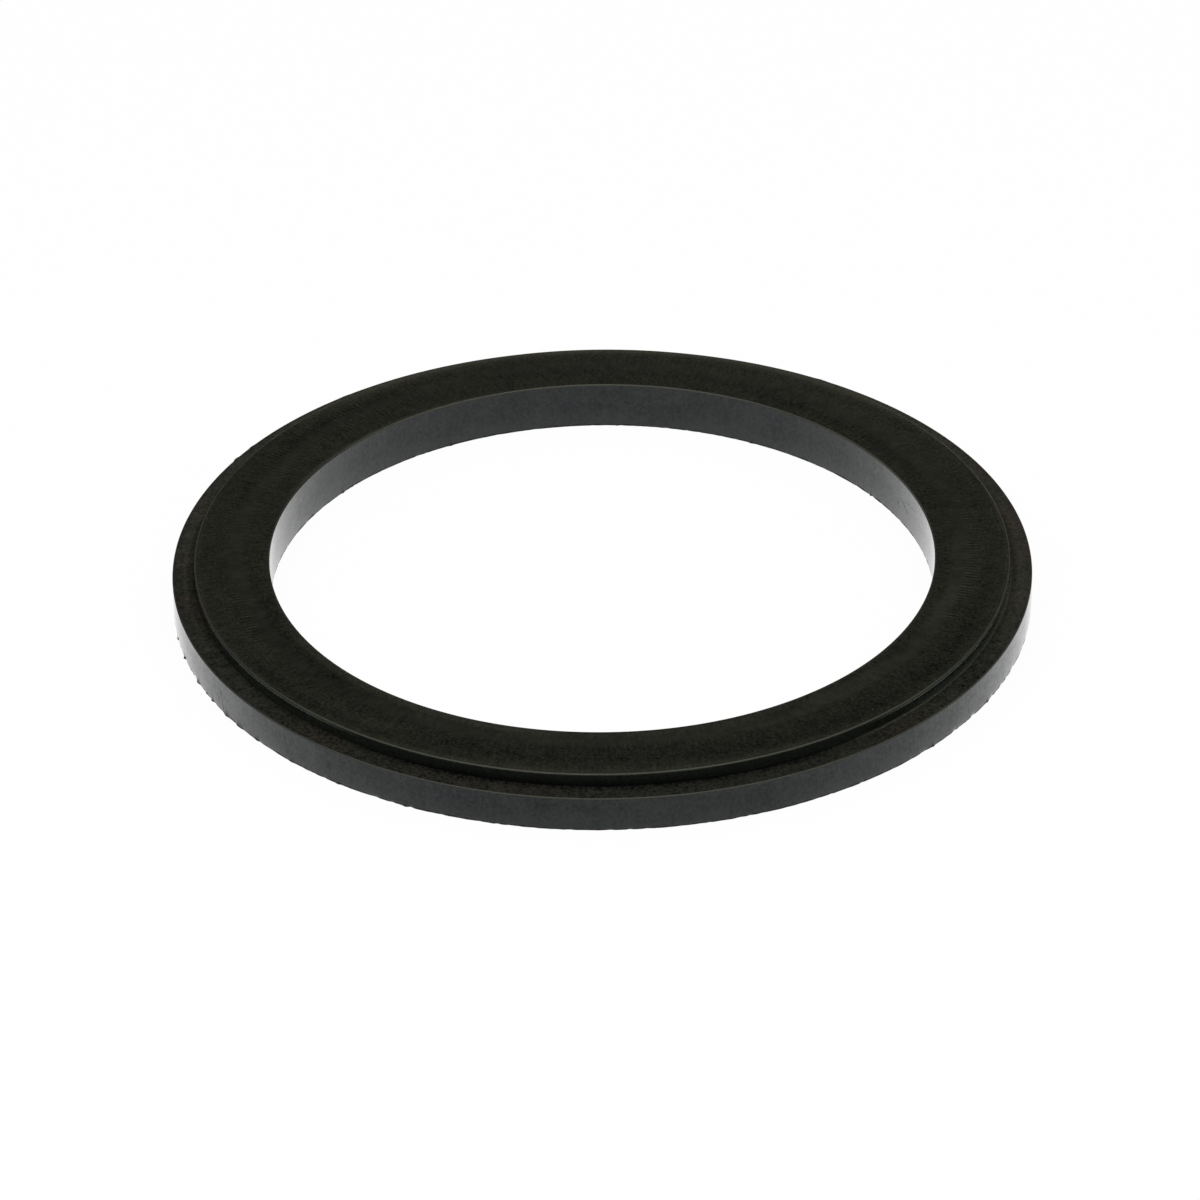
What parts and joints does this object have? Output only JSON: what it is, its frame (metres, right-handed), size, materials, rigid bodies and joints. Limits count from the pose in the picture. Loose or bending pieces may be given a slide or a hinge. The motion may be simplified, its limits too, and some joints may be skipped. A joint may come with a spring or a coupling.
{
  "type": "stepped sealing ring",
  "caption": "Flat black rubber sealing ring with a plain bore, a raised inner land and a lower outer ledge.",
  "frame": {"origin": "centre of the ring on its base plane", "axes": "+Z along the ring's axis, from the flat base towards the raised land; the ring is round, so X and Y are free"},
  "size_m": [0.072, 0.072, 0.0041],
  "materials": {
    "rubber": "moulded, matt ground faces and smooth walls"
  },
  "bodies": {
    "root": {"sealing_ring": "rubber"}
  },
  "joints": []
}
